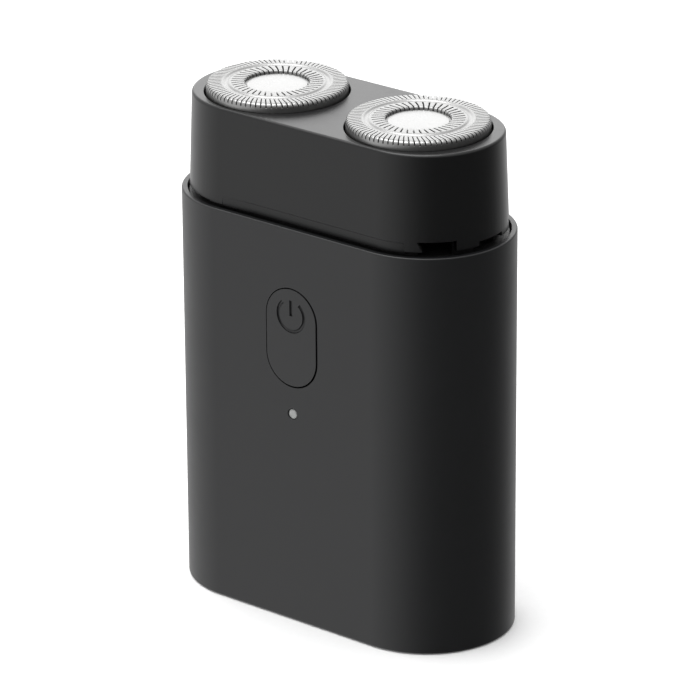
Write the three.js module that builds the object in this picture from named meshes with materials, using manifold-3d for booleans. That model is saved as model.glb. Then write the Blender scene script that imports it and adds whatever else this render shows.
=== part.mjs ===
// A pocket-size rotary shaver with two round shaving heads side by side.
// Frame: X runs along the width, -Y is the front face with the power button, +Z is up.
// The origin is the middle of the flat base that the shaver stands on. All sizes are in millimetres.
//
// From the outside in: a stadium-shaped body shell closed by a base cover, a gearbox cover that is also
// the floor of the hair chamber, and a head that lifts off with its guards, cutters and blade frame.
// The motor's pinion drives two large gears, and each gear turns a sprung spindle that drives a cutter.

import * as THREE from "three";
import { mergeVertices } from "three/addons/utils/BufferGeometryUtils.js";
import Module from "manifold-3d";

const wasm = await Module();
wasm.setup();

// ---------------------------------------------------------------- driving dimensions

const bodyWidth = 60;
const bodyDepth = 28.4;
const bodyHeight = 67.15;
const shellWall = 1.7;
const rimWall = 0.95;

const headTop = 83.3;
const headBottom = 67.4;
const headInset = 1.3; // step in from the body's side to the head's side
const headDraft = 0.6; // how far each side leans in by the top
const headWall = 1.25;

const spindleOffset = 14.2; // each shaving head's axis, from the middle
const guardRadius = 11.3;
const guardTop = 84.8;

const gearTeeth = 35;
const pinionTeeth = 12;

// ---------------------------------------------------------------- derived places

const bodyHalf = bodyDepth / 2;
const endCentre = bodyWidth / 2 - bodyHalf; // centre of each round end
const cavityHalf = bodyHalf - shellWall;
const rimHalf = bodyHalf - rimWall;
const headHalf = bodyHalf - headInset;
const headTopHalf = headHalf - headDraft;
const headCavityHalf = headHalf - headWall;

const fitGap = 0.15; // between pieces that slip together
const restGap = 0.05; // between faces that rest on each other

const ledgeZ = 65.3; // the shell's inner step that carries the gearbox cover
const deckTop = 66.6;
const gearFloorZ = 59.2; // top of the chassis plate that the gears run over
const plateZ = 57.6; // underside of that plate
const gearBottomZ = 60.4;
const gearTopZ = 63.2;
const frameZ = 76.4; // underside of the blade frame
const frontInnerY = -cavityHalf; // inner face of the front wall

const buttonZ = 48.95;
const buttonWidth = 10;
const buttonHeight = 16.35;
const ledZ = 36;
const boardFrontY = -9.8;
const boardBackY = -8.8;
const portY = -7.1;
const coverScrewX = 23.9;
const gearboxScrewY = 9.6;
const magnetY = 7.2;
const batteryRadius = 7;
const batteryLength = 43;
const batteryY = 2.5;
const batteryZ = 19;

// ---------------------------------------------------------------- materials

function material(color, roughness, metalness) {
  return new THREE.MeshStandardMaterial({ color, roughness, metalness });
}

const shellBlack = material(0x2b2c2e, 0.55, 0);
const headBlack = material(0x29292b, 0.5, 0);
const innerBlack = material(0x1b1b1c, 0.6, 0);
const gearWhite = material(0xdad8d0, 0.5, 0);
const sealBlack = material(0x101010, 0.85, 0);
const guardSteel = material(0xc9c8c4, 0.3, 1);
const mirrorSteel = material(0xe2e2e0, 0.12, 1);
const bladeSteel = material(0xb4b4b0, 0.28, 1);
const plainSteel = material(0x9b9c9e, 0.35, 1);
const motorSteel = material(0x8f9092, 0.4, 1);
const magnetNickel = material(0xb9babd, 0.25, 1);
const nickelStrip = material(0xa9a49a, 0.35, 1);
const boardGreen = material(0x174a2c, 0.45, 0);
const cellBlue = material(0x27496b, 0.4, 0);
const lensWhite = material(0xd8d9d6, 0.35, 0);
const leadRed = material(0x8e1f1a, 0.5, 0);
const leadBlack = material(0x151515, 0.5, 0);
const copperWinding = material(0x9a5a2e, 0.4, 1);
const ferriteGrey = material(0x3a3a3c, 0.7, 0);

// ---------------------------------------------------------------- solids

// A three.js geometry as a closed solid, with its faces turned outwards.
function solid(geometry) {
  const bare = geometry.clone();
  bare.deleteAttribute("normal");
  bare.deleteAttribute("uv");
  const merged = mergeVertices(bare, 1e-4);
  const index = merged.index.array;
  const kept = [];
  for (let i = 0; i < index.length; i += 3) {
    const [a, b, c] = [index[i], index[i + 1], index[i + 2]];
    if (a !== b && b !== c && c !== a) kept.push(a, b, c);
  }
  const vertProperties = merged.attributes.position.array;
  const build = (triVerts) => new wasm.Manifold(new wasm.Mesh({ numProp: 3, vertProperties, triVerts }));
  const made = build(new Uint32Array(kept));
  return made.volume() < 0 ? build(new Uint32Array(kept.reverse())) : made;
}

function geometryOf(made) {
  const mesh = made.getMesh();
  const position = new Float32Array(mesh.numVert * 3);
  for (let i = 0; i < mesh.numVert; i++) {
    const start = i * mesh.numProp;
    position.set(mesh.vertProperties.subarray(start, start + 3), i * 3);
  }
  const geometry = new THREE.BufferGeometry();
  geometry.setAttribute("position", new THREE.BufferAttribute(position, 3));
  geometry.setIndex(new THREE.BufferAttribute(new Uint32Array(mesh.triVerts), 1));
  geometry.computeVertexNormals();
  return geometry;
}

const join = (first, ...others) => others.reduce((all, next) => all.add(next), first);
const cut = (first, ...others) => others.reduce((left, tool) => left.subtract(tool), first);

function block(x0, x1, y0, y1, z0, z1) {
  const box = new THREE.BoxGeometry(x1 - x0, y1 - y0, z1 - z0);
  return solid(box.translate((x0 + x1) / 2, (y0 + y1) / 2, (z0 + z1) / 2));
}

// An upright cylinder, or a prism when it has few sides.
function post(radius, z0, z1, x = 0, y = 0, sides = 16, turn = 0) {
  const cylinder = new THREE.CylinderGeometry(radius, radius, z1 - z0, sides);
  cylinder.rotateX(Math.PI / 2).rotateZ(turn);
  return solid(cylinder.translate(x, y, (z0 + z1) / 2));
}

// A cylinder along Y, such as a screw's hole through the front.
function postY(radius, y0, y1, x, z, sides = 16) {
  const cylinder = new THREE.CylinderGeometry(radius, radius, y1 - y0, sides);
  return solid(cylinder.translate(x, (y0 + y1) / 2, z));
}

// A cylinder along X, such as the battery.
function postX(radius, x0, x1, y, z, sides = 24) {
  const cylinder = new THREE.CylinderGeometry(radius, radius, x1 - x0, sides);
  return solid(cylinder.rotateZ(Math.PI / 2).translate((x0 + x1) / 2, y, z));
}

// A turned piece about Z: profile is a closed loop of [radius, z].
function turned(profile, sides = 20) {
  const points = profile.map(([r, z]) => new THREE.Vector2(r, z));
  return solid(new THREE.LatheGeometry(points, sides).rotateX(Math.PI / 2));
}

function stadiumShape(half, centre = endCentre) {
  const shape = new THREE.Shape();
  shape.absarc(centre, 0, half, -Math.PI / 2, Math.PI / 2, false);
  shape.absarc(-centre, 0, half, Math.PI / 2, 1.5 * Math.PI, false);
  return shape;
}

// A stadium-shaped plate between two heights. leanAt gives how far its side stands in at height z.
function stadium(half, z0, z1, { steps = 1, leanAt = null, chamfer = 0, segments = 8 } = {}) {
  const geometry = new THREE.ExtrudeGeometry(stadiumShape(half - chamfer), {
    depth: z1 - z0 - 2 * chamfer,
    steps,
    curveSegments: segments,
    bevelEnabled: chamfer > 0,
    bevelThickness: chamfer,
    bevelSize: chamfer,
    bevelSegments: 1,
  });
  geometry.translate(0, 0, z0 + chamfer);
  if (leanAt) lean(geometry, leanAt);
  return solid(geometry);
}

function lean(geometry, leanAt) {
  const position = geometry.attributes.position;
  for (let i = 0; i < position.count; i++) {
    const [x, y, z] = [position.getX(i), position.getY(i), position.getZ(i)];
    const past = Math.abs(x) > endCentre ? x - Math.sign(x) * endCentre : 0;
    const reach = Math.hypot(past, y) || 1;
    const keep = 1 - leanAt(z) / reach;
    position.setXY(i, x - past + past * keep, y * keep);
  }
}

const stadiumRing = (outer, inner, z0, z1) => cut(stadium(outer, z0, z1), stadium(inner, z0 - 1, z1 + 1));

// An upright pill-shaped plate facing the front, between two depths.
function frontPill(width, height, y0, y1, z) {
  const shape = stadiumShape(width / 2, (height - width) / 2);
  const geometry = new THREE.ExtrudeGeometry(shape, { depth: y1 - y0, curveSegments: 8, bevelEnabled: false });
  geometry.rotateZ(Math.PI / 2).rotateX(Math.PI / 2);
  return solid(geometry.translate(0, y1, z));
}

// A wedge about the centre of a round end, between two angles in degrees.
function endWedge(centre, fromDegrees, toDegrees, z0, z1) {
  const reach = 25;
  const from = THREE.MathUtils.degToRad(fromDegrees);
  const to = THREE.MathUtils.degToRad(toDegrees);
  const shape = new THREE.Shape();
  shape.moveTo(0, 0);
  shape.lineTo(reach * Math.cos(from), reach * Math.sin(from));
  shape.absarc(0, 0, reach, from, to, false);
  const geometry = new THREE.ExtrudeGeometry(shape, { depth: z1 - z0, curveSegments: 4, bevelEnabled: false });
  return solid(geometry.translate(centre, 0, z0));
}

// A round wire or lead along a curve.
function wire(path, radius, steps, sides = 8) {
  const shape = new THREE.Shape();
  for (let i = 0; i < sides; i++) {
    const angle = (i / sides) * 2 * Math.PI;
    const [x, y] = [radius * Math.cos(angle), radius * Math.sin(angle)];
    if (i === 0) shape.moveTo(x, y);
    else shape.lineTo(x, y);
  }
  return solid(new THREE.ExtrudeGeometry(shape, { steps, extrudePath: path, bevelEnabled: false }));
}

// ---------------------------------------------------------------- the body

function bodyShell() {
  const outer = stadium(bodyHalf, 0, bodyHeight, { chamfer: 0.35, segments: 12 });
  const cavity = stadium(cavityHalf, -1, bodyHeight + 1, { segments: 14 });
  const rimStep = stadium(rimHalf, ledgeZ, bodyHeight + 1, { segments: 14 });
  const baseStep = stadium(cavityHalf + 0.4, -1, 1.8, { segments: 14 });
  const buttonHole = frontPill(buttonWidth + 0.3, buttonHeight + 0.3, -bodyHalf - 1, frontInnerY + 1, buttonZ);
  const ledHole = postY(0.9, -bodyHalf - 1, frontInnerY + 1, 0, ledZ);
  return cut(outer, cavity, rimStep, baseStep, buttonHole, ledHole);
}

function portOutline(grow, z0, z1) {
  const half = 1.6 + grow;
  const shape = stadiumShape(half, 4.45 - 1.6);
  const geometry = new THREE.ExtrudeGeometry(shape, { depth: z1 - z0, curveSegments: 5, bevelEnabled: false });
  return solid(geometry.translate(0, portY, z0));
}

const coverLipHalf = 11.5;

function baseCover() {
  const plate = stadium(cavityHalf + 0.25, 0, 1.7);
  const lip = stadiumRing(coverLipHalf, coverLipHalf - 1, 1.6, 4);
  let cover = cut(join(plate, lip), portOutline(0.25, -1, 5));
  for (const side of [-1, 1]) {
    const x = side * coverScrewX;
    cover = cut(cover, post(1.05, -1, 5, x), post(1.95, -1, 0.95, x));
  }
  return cover;
}

const baseGasket = () => stadiumRing(cavityHalf - 0.2, coverLipHalf + restGap, 1.9, 2.9);

const sealNotchY = -11.45; // the plate stops short of the button's seal

// A ladder frame: the gearbox plate on two columns, with ribs that carry the battery and the board.
function chassis() {
  const columnInner = batteryLength / 2 + 0.8;
  const columnOuter = columnInner + 3.1;
  const ribZ = 28;
  const lowRibZ = 8.7;
  const parts = [stadium(cavityHalf - 0.25, plateZ, gearFloorZ)];
  for (const side of [-1, 1]) {
    const [x0, x1] = side < 0 ? [-columnOuter, -columnInner] : [columnInner, columnOuter];
    parts.push(block(x0, x1, -4, 4, 4.3, plateZ + 0.5));
    const saddleX = side * 13;
    parts.push(block(saddleX - 1.5, saddleX + 1.5, -5, 10, lowRibZ, batteryZ));
  }
  parts.push(block(-columnOuter, columnOuter, -3.9, 3.9, lowRibZ, lowRibZ + 1.5));
  parts.push(block(-columnOuter, columnOuter, -3.9, 3.9, ribZ, ribZ + 1.6));
  parts.push(block(-boardScrewX - 3, boardScrewX + 3, boardBackY + restGap, -3.8, ribZ, ribZ + 1.6));
  let frame = cut(join(...parts), block(-8, 8, -13, sealNotchY, plateZ - 1, gearFloorZ + 1));
  frame = cut(frame, postX(batteryRadius + fitGap, -columnInner - 0.2, columnInner + 0.2, batteryY, batteryZ));
  frame = cut(frame, post(3.3, plateZ - 1, gearFloorZ + 1));
  for (const side of [-1, 1]) {
    frame = cut(
      frame,
      post(1.1, plateZ - 1, gearFloorZ + 1, side * motorScrewX),
      post(0.95, plateZ + 0.4, gearFloorZ + 1, side * spindleOffset),
      post(1.0, plateZ - 1, gearFloorZ + 1, 0, side * gearboxScrewY),
      post(0.95, 3, 12, side * coverScrewX, 0, 16),
      postY(0.75, boardBackY - 1, -2, side * boardScrewX, ribZ + 0.8, 12),
    );
  }
  return frame;
}

// The gearbox cover is the deck under the head: its collar centres the head, and a hollow tower
// over each gear's hub carries the spindle seal.
const drains = [
  [-59, -31],
  [-12.8, 12.8],
  [31, 59],
]; // in degrees about the centre of the right-hand end
const flangeZ = ledgeZ + 0.6;
const spigotZ = ledgeZ - 0.3;
const towerRadius = 4.6;
const towerTop = 70.4;

function gearboxCover() {
  const flange = stadium(rimHalf - 0.2, flangeZ, deckTop);
  const spigot = stadium(cavityHalf - 0.3, spigotZ, deckTop - 0.2);
  const collar = stadiumRing(headCavityHalf - 0.2, headCavityHalf - 1.35, deckTop - 0.1, 70);
  let deck = join(flange, spigot, collar);
  for (const side of [-1, 1]) {
    const x = side * spindleOffset;
    const y = side * gearboxScrewY;
    deck = join(deck, post(towerRadius, spigotZ + 0.1, towerTop, x), post(2, gearFloorZ + restGap, flangeZ, 0, y));
    deck = join(deck, post(2.7, spigotZ + 0.1, 69, 0, side * magnetY));
    deck = cut(
      deck,
      post(3.85, spigotZ - 1, towerTop - 1, x),
      post(2.2, spigotZ - 1, towerTop + 1, x),
      post(0.85, gearFloorZ - 1, 64, 0, y, 16),
      post(2.1, deckTop + 0.3, 70, 0, side * magnetY),
    );
  }
  return cut(deck, ...collarGaps());
}

// The head's drains carry on through the collar, so the hair chamber can be rinsed out.
function collarGaps() {
  const band = stadiumRing(headCavityHalf, headCavityHalf - 1.6, deckTop + 0.05, 71);
  return drains.map(([from, to]) => band.intersect(endWedge(endCentre, from, to, 60, 72)));
}

const deckGasket = () => stadiumRing(rimHalf - 0.2, cavityHalf - 0.1, ledgeZ + restGap, flangeZ - restGap);

const spindleSeal = () =>
  turned([
    [2.12, towerTop + restGap],
    [4.3, towerTop + restGap],
    [4.3, towerTop + 0.5],
    [2.9, towerTop + 0.8],
    [2.12, towerTop + 0.8],
    [2.12, towerTop + restGap],
  ]);

const discMagnet = (z0) => post(2, z0, z0 + 2);

// ---------------------------------------------------------------- the motor

const motorTop = plateZ - 0.2;
const motorBottom = motorTop - 25;
const motorRadius = 10.1;
const motorHalfDepth = 7.6;
const motorScrewX = 6.2;
const shaftRadius = 1;

// The flat-sided outline of the motor's can, less a wall.
function motorCore(wall, z0, z1) {
  const round = post(motorRadius - wall, z0, z1, 0, 0, 28);
  const flat = motorHalfDepth - wall;
  return round.intersect(block(-20, 20, -flat, flat, z0, z1));
}

function motorCan() {
  const outer = join(motorCore(0, motorBottom + 2, motorTop), post(3, motorTop - 0.5, motorTop + 1.4));
  const inner = motorCore(0.8, motorBottom, motorTop - 1);
  const bearing = post(shaftRadius + 0.1, motorTop - 3, motorTop + 3, 0, 0, 20);
  const screwHoles = [-1, 1].map((side) => post(0.95, motorTop - 3, motorTop + 1, side * motorScrewX, 0, 16));
  return cut(outer, inner, bearing, ...screwHoles);
}

function motorEndCap() {
  const cap = join(motorCore(0, motorBottom, motorBottom + 1.9), motorCore(1, motorBottom + 1, motorBottom + 3.6));
  return cut(cap, post(shaftRadius + 0.1, motorBottom + 1, motorBottom + 5, 0, 0, 20));
}

// A curved field magnet against one round side of the can.
function fieldMagnet() {
  const ring = cut(post(9.1, motorBottom + 5, motorTop - 4, 0, 0, 28), post(7, 0, 80, 0, 0, 28));
  return ring.intersect(block(4, 20, -4.6, 4.6, 0, 80));
}

const motorShaft = () => post(shaftRadius, motorBottom + 1.2, 64.4, 0, 0, 20);

// Laminated core with its windings swelling past each end.
const motorArmature = () =>
  turned([
    [shaftRadius + restGap, motorBottom + 6],
    [4.4, motorBottom + 6],
    [4.8, motorBottom + 7.5],
    [6.3, motorBottom + 8],
    [6.3, motorTop - 7],
    [4.8, motorTop - 6.5],
    [4.4, motorTop - 5],
    [shaftRadius + restGap, motorTop - 5],
    [shaftRadius + restGap, motorBottom + 6],
  ]);

// ---------------------------------------------------------------- the gears and spindles

const gearModule = (2 * spindleOffset) / (gearTeeth + pinionTeeth);

// Involute outline with a tooth on the +X axis. Backlash keeps the flanks apart at rest.
function gearShape(teeth) {
  const pressure = THREE.MathUtils.degToRad(20);
  const involute = (angle) => Math.tan(angle) - angle;
  const pitchRadius = (gearModule * teeth) / 2;
  const baseRadius = pitchRadius * Math.cos(pressure);
  const tipRadius = pitchRadius + 0.85 * gearModule;
  const rootRadius = pitchRadius - 1.2 * gearModule;
  const backlash = 0.16 * gearModule;
  const halfAtPitch = ((Math.PI * gearModule) / 2 - backlash) / (2 * pitchRadius);
  const halfAt = (radius) => {
    const angle = Math.acos(Math.min(1, baseRadius / radius));
    return halfAtPitch + involute(pressure) - involute(angle);
  };
  const radii = [rootRadius, tipRadius];
  const shape = new THREE.Shape();
  const corner = (radius, angle) => [radius * Math.cos(angle), radius * Math.sin(angle)];
  for (let tooth = 0; tooth < teeth; tooth++) {
    const middle = (tooth / teeth) * 2 * Math.PI;
    for (const radius of radii) {
      const [x, y] = corner(radius, middle - halfAt(radius));
      if (tooth === 0 && radius === rootRadius) shape.moveTo(x, y);
      else shape.lineTo(x, y);
    }
    for (const radius of [...radii].reverse()) shape.lineTo(...corner(radius, middle + halfAt(radius)));
  }
  return shape;
}

function toothedWheel(teeth, z0, z1) {
  const geometry = new THREE.ExtrudeGeometry(gearShape(teeth), { depth: z1 - z0, bevelEnabled: false });
  return solid(geometry.translate(0, 0, z0));
}

const hubTop = 69;
const cupFloor = 61.6;
const springTop = 66;

function driveGear() {
  const wheel = cut(toothedWheel(gearTeeth, gearBottomZ, gearTopZ), post(8.9, 61.6, gearTopZ + 1, 0, 0, 28));
  const hub = post(3.5, gearBottomZ, hubTop);
  return cut(join(wheel, hub), post(2.75, cupFloor, hubTop + 1, 0, 0, 6), post(0.9, gearBottomZ - 1, hubTop, 0, 0, 16));
}

const motorPinion = () =>
  cut(toothedWheel(pinionTeeth, gearBottomZ - 0.2, 64), post(shaftRadius + restGap, 59, 65, 0, 0, 20));

const gearPin = () => post(0.8, plateZ + 0.5, 71, 0, 0, 16);

// A six-sided foot that slides in the gear's hub, a round neck through the seal,
// an umbrella that sheds hair, and a square tip that drives the cutter.
function spindle() {
  const foot = post(2.45, springTop + restGap, 68.7, 0, 0, 6);
  const body = turned([
    [0, 68.6],
    [1.95, 68.6],
    [1.95, 72.4],
    [4.4, 72.4],
    [4.4, 72.6],
    [2.4, 73.7],
    [0, 73.7],
  ]);
  const tip = post(1.75 * Math.SQRT2, 73.5, 78.2, 0, 0, 4, Math.PI / 4);
  return cut(join(foot, body, tip), post(0.95, 60, 72.1, 0, 0, 16));
}

class Helix extends THREE.Curve {
  constructor(radius, z0, z1, turns) {
    super();
    Object.assign(this, { radius, z0, z1, turns });
  }
  getPoint(t, target = new THREE.Vector3()) {
    const angle = t * this.turns * 2 * Math.PI;
    const z = this.z0 + t * (this.z1 - this.z0);
    return target.set(this.radius * Math.cos(angle), this.radius * Math.sin(angle), z);
  }
}

function spindleSpring() {
  const wireRadius = 0.18;
  const turns = 4;
  const path = new Helix(1.75, cupFloor + wireRadius + 0.1, springTop - wireRadius - 0.1, turns);
  return wire(path, wireRadius, turns * 9, 5);
}

// ---------------------------------------------------------------- electronics

const boardScrewX = 8;

function circuitBoard() {
  const board = block(-10.5, 10.5, boardFrontY, boardBackY, 4.4, 54);
  const holes = [-1, 1].map((side) => postY(0.9, -12, -6, side * boardScrewX, 28.8, 16));
  return cut(board, ...holes);
}

function powerSwitch() {
  const body = block(-2.6, 2.6, boardFrontY - 1.1, boardFrontY - restGap, buttonZ - 2.6, buttonZ + 2.6);
  return cut(body, postY(1.05, boardFrontY - 2, boardFrontY - 0.4, 0, buttonZ));
}

const switchPlunger = () => postY(0.9, -11.3, -10.55, 0, buttonZ);
const chargeLed = () => block(-0.8, 0.8, boardFrontY - 0.65, boardFrontY - restGap, ledZ - 0.5, ledZ + 0.5);

const lightGuide = () =>
  join(postY(0.78, -bodyHalf + 0.05, -10.7, 0, ledZ), postY(1.4, frontInnerY + restGap, frontInnerY + 0.7, 0, ledZ));

// The button's cap fills the hole in the shell, and a wider flange behind it keeps it in.
function powerButton() {
  const cap = frontPill(buttonWidth, buttonHeight, -bodyHalf + 0.05, -12.3, buttonZ);
  const flange = frontPill(buttonWidth + 1, buttonHeight + 1, -12.4, -11.95, buttonZ);
  return join(cap, flange, postY(1.5, -12, -11.35, 0, buttonZ));
}

function buttonSeal() {
  const outer = frontPill(buttonWidth + 4, buttonHeight + 4, -12.4, -11.6, buttonZ);
  return cut(outer, frontPill(buttonWidth + 1.4, buttonHeight + 1.4, -13, -11, buttonZ));
}

const portTop = 8.1;
const portMouth = 0.6;

function usbPort() {
  return cut(portOutline(0, portMouth, portTop), portOutline(-0.3, portMouth - 1, portTop - 0.8));
}

const usbTongue = () => block(-3.3, 3.3, portY - 0.35, portY + 0.35, portMouth + 0.8, portTop - 0.9);

const batteryEnd = batteryLength / 2;

const battery = () =>
  join(
    postX(batteryRadius, -batteryEnd, batteryEnd - 0.8, batteryY, batteryZ),
    postX(2.6, batteryEnd - 1, batteryEnd, batteryY, batteryZ, 16),
  );

// A nickel strip from one end of the battery round to the circuit board.
function batteryTab(side) {
  const endX = side < 0 ? -batteryEnd - 0.35 : batteryEnd + 0.1;
  const end = block(endX, endX + 0.25, boardBackY + 0.35, batteryY + 2, batteryZ - 2, batteryZ + 2);
  const [x0, x1] = side < 0 ? [endX, -8] : [8, endX + 0.25];
  return join(end, block(x0, x1, boardBackY + 0.1, boardBackY + 0.35, batteryZ - 2, batteryZ + 2));
}

// A lead from a motor terminal down and forward to the board.
function motorLead(side) {
  const path = new THREE.CatmullRomCurve3([
    new THREE.Vector3(side * 6, -2, motorBottom - 0.2),
    new THREE.Vector3(side * 6.1, -2.6, motorBottom - 1.2),
    new THREE.Vector3(side * 6.4, -4.6, motorBottom - 2),
    new THREE.Vector3(side * 6.6, -6.8, motorBottom - 1.4),
    new THREE.Vector3(side * 6.6, boardBackY + 0.2, motorBottom - 0.6),
  ]);
  return wire(path, 0.5, 12);
}

// ---------------------------------------------------------------- screws

// A pan-head screw, its head at the bottom and its shank up, with a cross recess.
function screw({ headRadius, headHeight, shankRadius, length }) {
  const made = join(
    post(headRadius, 0, headHeight, 0, 0, 20),
    post(shankRadius, headHeight - 0.1, headHeight + length, 0, 0, 12),
  );
  const [slotHalf, slotDepth, reach] = [0.22, headHeight * 0.5, headRadius * 0.65];
  return cut(
    made,
    block(-reach, reach, -slotHalf, slotHalf, -1, slotDepth),
    block(-slotHalf, slotHalf, -reach, reach, -1, slotDepth),
  );
}

const coverScrew = () => screw({ headRadius: 1.75, headHeight: 0.75, shankRadius: 0.8, length: 8 });
const gearboxScrew = () => screw({ headRadius: 1.75, headHeight: 1.1, shankRadius: 0.75, length: 5.6 });
const motorScrew = () => screw({ headRadius: 1.6, headHeight: 0.75, shankRadius: 0.8, length: 3.2 });
const boardScrew = () => screw({ headRadius: 1.4, headHeight: 0.7, shankRadius: 0.65, length: 4.5 });

// ---------------------------------------------------------------- the head

const headPlateZ = 81.7; // underside of the head's top plate
const skirtZ = 67.7;
const drainTops = [69.3, 68.45, 69.3];
const stepTopZ = 68.9;

function headLean(z) {
  const share = THREE.MathUtils.clamp((z - headBottom) / (headTop - headBottom), 0, 1);
  return headDraft * share;
}

// Lean is taken from the outer side only: the cavity has straight walls.
function headCap() {
  const outer = stadium(headHalf, headBottom, headTop, { leanAt: headLean, chamfer: 0.4, segments: 12 });
  const cavity = stadium(headCavityHalf, headBottom - 1, headPlateZ, { segments: 14 });
  let cap = cut(outer, cavity);
  for (const side of [-1, 1]) {
    cap = cut(cap, post(guardRadius + 0.3, headPlateZ - 1, headTop + 1, side * spindleOffset, 0, 48));
  }
  const knobPost = cut(post(2.3, 78.1, headPlateZ + 0.2), post(1.4, 78, 81, 0, 0, 16));
  cap = join(cap, knobPost);
  return cut(cap, ...endNotches(), ...thumbSteps());
}

// What is cut from the lower edge: both ends stand a little higher than the long sides,
// and the right-hand end has three drain notches that hair is rinsed out through.
const endNotches = () => [
  endWedge(-endCentre, 98, 262, headBottom - 1, skirtZ),
  endWedge(endCentre, -67.7, 67.7, headBottom - 1, skirtZ),
  ...drains.map(([from, to], i) => endWedge(endCentre, from, to, headBottom - 1, drainTops[i])),
];

// A shallow step along the lower edge, front and back, that a thumbnail lifts the head by.
function thumbSteps() {
  const skin = cut(stadium(headHalf + 1, headBottom - 1, stepTopZ), stadium(headHalf - 0.25, 60, 70));
  return [-1, 1].map((side) => {
    const [y0, y1] = side < 0 ? [-20, -9] : [9, 20];
    return skin.intersect(block(-15, 20.7, y0, y1, 60, 70));
  });
}

// The foil-like outer cutter: two raised tracks with a groove between them, on a deep skirt.
function guard() {
  const top = guardTop;
  const skirtBottom = 79.2;
  const cup = turned(
    [
      [0, top - 1.1],
      [8.6, top - 1.1],
      [8.8, top - 0.4],
      [10.4, top - 0.4],
      [10.8, top - 0.8],
      [10.8, skirtBottom],
      [guardRadius, skirtBottom],
      [guardRadius, top - 0.5],
      [10.85, top],
      [8.5, top],
      [8.35, top - 0.5],
      [7.85, top - 0.5],
      [7.7, top],
      [5.15, top],
      [5.05, top - 0.6],
      [0, top - 0.6],
    ],
    32,
  );
  const tabs = [1, 3, 5, 7].map((eighth) => {
    const tab = block(10.9, 12.2, -1.5, 1.5, 80.9, headPlateZ - 0.1);
    return tab.rotate([0, 0, eighth * 45]);
  });
  return join(cup, ...tabs);
}

const guardCap = () => turned([[0, guardTop - 0.57], [4.8, guardTop - 0.57], [4.8, guardTop - 0.4], [0, guardTop - 0.35]], 32);

// The inner cutter: a steel ring with upright blades under each track of the guard.
function cutterBlades() {
  const ringZ = 79.2;
  const rings = [
    { count: 15, inner: 9, outer: 10.1, tipZ: guardTop - 0.55 },
    { count: 9, inner: 5.5, outer: 7.3, tipZ: guardTop - 1.25 },
  ];
  let blades = cut(post(10.3, ringZ, ringZ + 0.6, 0, 0, 24), post(3, ringZ - 1, ringZ + 2));
  for (const { count, inner, outer, tipZ } of rings) {
    for (let i = 0; i < count; i++) {
      const blade = block(inner, outer, -0.25, 0.25, ringZ + 0.3, tipZ);
      blades = join(blades, blade.rotate([0, 0, (i * 360) / count]));
    }
  }
  return blades;
}

function cutterHub() {
  const hub = join(post(3.7, 74.6, 79.15, 0, 0, 24), post(2.85, 79, 80.2, 0, 0, 24));
  return cut(hub, post(1.95 * Math.SQRT2, 74, 78.7, 0, 0, 4, Math.PI / 4));
}

// Holds the guards and cutters up in the head. Three spokes per side carry a ring under each cutter.
function bladeFrame() {
  const [plateTop, ringInner, ringOuter, windowRadius] = [frameZ + 1.4, 5.3, 6.4, 10];
  let frame = stadium(headCavityHalf - 0.25, frameZ, plateTop);
  for (const side of [-1, 1]) {
    const x = side * spindleOffset;
    let window = cut(post(windowRadius, frameZ - 1, plateTop + 1, 0, 0, 28), post(ringOuter, 70, 80, 0, 0, 20));
    for (const turn of [90, 210, 330]) {
      window = cut(window, block(ringOuter - 1, windowRadius + 1, -0.8, 0.8, 70, 80).rotate([0, 0, turn]));
    }
    window = join(window, post(ringInner, frameZ - 1, plateTop + 1, 0, 0, 20));
    frame = cut(frame, window.translate([x, 0, 0]));
    const y = side * magnetY;
    frame = cut(join(frame, post(2.7, 69.3, frameZ + 0.5, 0, y)), post(2.1, 69, 71.5, 0, y));
  }
  return cut(frame, post(1.4, frameZ - 1, plateTop + 1));
}

// A quarter-turn knob that locks the blade frame to the post inside the head.
function frameKnob() {
  const knob = join(post(3.1, 74.2, frameZ - 0.1, 0, 0, 20), post(1.15, frameZ - 0.2, 80.4, 0, 0, 16));
  return join(knob, block(-2.6, 2.6, -0.7, 0.7, 72.8, 74.4));
}

// ---------------------------------------------------------------- assembly

function piece(name, made, look) {
  const mesh = new THREE.Mesh(geometryOf(made), look);
  mesh.name = name;
  return mesh;
}

function placed(mesh, x, y, z, turnX = 0, turnZ = 0) {
  mesh.position.set(x, y, z);
  mesh.rotation.set(turnX, 0, turnZ);
  return mesh;
}

const shaver = new THREE.Group();

shaver.add(
  piece("body_shell", bodyShell(), shellBlack),
  piece("base_cover", baseCover(), shellBlack),
  piece("base_gasket", baseGasket(), sealBlack),
  piece("chassis", chassis(), innerBlack),
  piece("gearbox_cover", gearboxCover(), innerBlack),
  piece("deck_gasket", deckGasket(), sealBlack),
  piece("motor_can", motorCan(), motorSteel),
  piece("motor_end_cap", motorEndCap(), innerBlack),
  piece("motor_shaft", motorShaft(), plainSteel),
  piece("motor_armature", motorArmature(), copperWinding),
  piece("motor_pinion", motorPinion(), gearWhite),
  piece("circuit_board", circuitBoard(), boardGreen),
  piece("power_switch", powerSwitch(), innerBlack),
  piece("switch_plunger", switchPlunger(), gearWhite),
  piece("charge_led", chargeLed(), lensWhite),
  piece("light_guide", lightGuide(), lensWhite),
  piece("power_button", powerButton(), shellBlack),
  piece("button_seal", buttonSeal(), sealBlack),
  piece("usb_port", usbPort(), plainSteel),
  piece("usb_tongue", usbTongue(), innerBlack),
  piece("battery", battery(), cellBlue),
  piece("head_cap", headCap(), headBlack),
  piece("blade_frame", bladeFrame(), innerBlack),
  piece("frame_knob", frameKnob(), innerBlack),
);

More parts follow.
